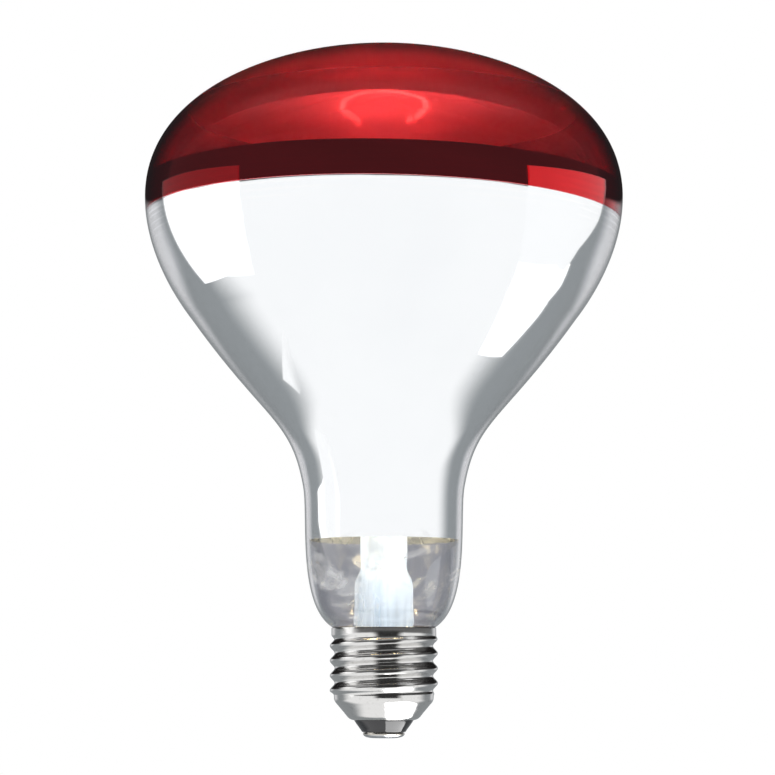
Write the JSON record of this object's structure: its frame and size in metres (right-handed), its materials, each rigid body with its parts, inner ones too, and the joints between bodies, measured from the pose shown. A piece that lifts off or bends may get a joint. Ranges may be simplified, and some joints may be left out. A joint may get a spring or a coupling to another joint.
{
  "type": "infrared heat lamp bulb",
  "caption": "Blown reflector heat lamp with a red filter dome, mirrored flank, clear neck with its glass stem, wire-mounted filament and a metal screw cap.",
  "frame": {"origin": "middle of the contact face under the cap", "axes": "+Z along the lamp's axis towards the red dome, +X to the right of someone facing the lamp, +Y away from them"},
  "size_m": [0.119, 0.119, 0.1706],
  "materials": {
    "clear_glass": "clear blown soda glass",
    "red_filter": "glossy see-through deep red coat",
    "mirror_film": "vacuum-deposited aluminium",
    "stem_glass": "clear lead-free stem glass",
    "shield_steel": "bright sheet",
    "tinned_wire": "bright tinned wire",
    "nickel_wire": "drawn nickel wire",
    "tungsten": "coiled tungsten wire",
    "molybdenum": "drawn molybdenum wire",
    "cement": "matt capping cement",
    "solder": "tin solder",
    "cap_nickel": "bright nickel plate on rolled brass",
    "black_glass": "glossy black insulating glass",
    "brass": "nickel-washed brass"
  },
  "bodies": {
    "root": {"glass_envelope": "clear_glass", "red_filter_coat": "red_filter", "reflector_mirror_coat": "mirror_film", "stem_flare": "stem_glass", "exhaust_tube": "stem_glass", "arbor_rod": "stem_glass", "heat_shield_disc": "shield_steel", "press_seal_wire_left": "tinned_wire", "press_seal_wire_right": "tinned_wire", "inner_lead_left": "nickel_wire", "inner_lead_right": "nickel_wire", "filament_clamp_left": "nickel_wire", "filament_clamp_right": "nickel_wire", "filament_coil": "tungsten", "filament_support_1": "molybdenum", "filament_support_2": "molybdenum", "filament_support_3": "molybdenum", "filament_support_4": "molybdenum", "filament_support_5": "molybdenum", "side_lead": "tinned_wire", "fuse_lead": "tinned_wire", "fuse_link": "stem_glass", "contact_lead": "tinned_wire", "capping_cement": "cement", "side_solder": "solder", "cap_shell": "cap_nickel", "cap_insulator": "black_glass", "centre_contact": "brass", "centre_solder": "solder"}
  },
  "joints": []
}
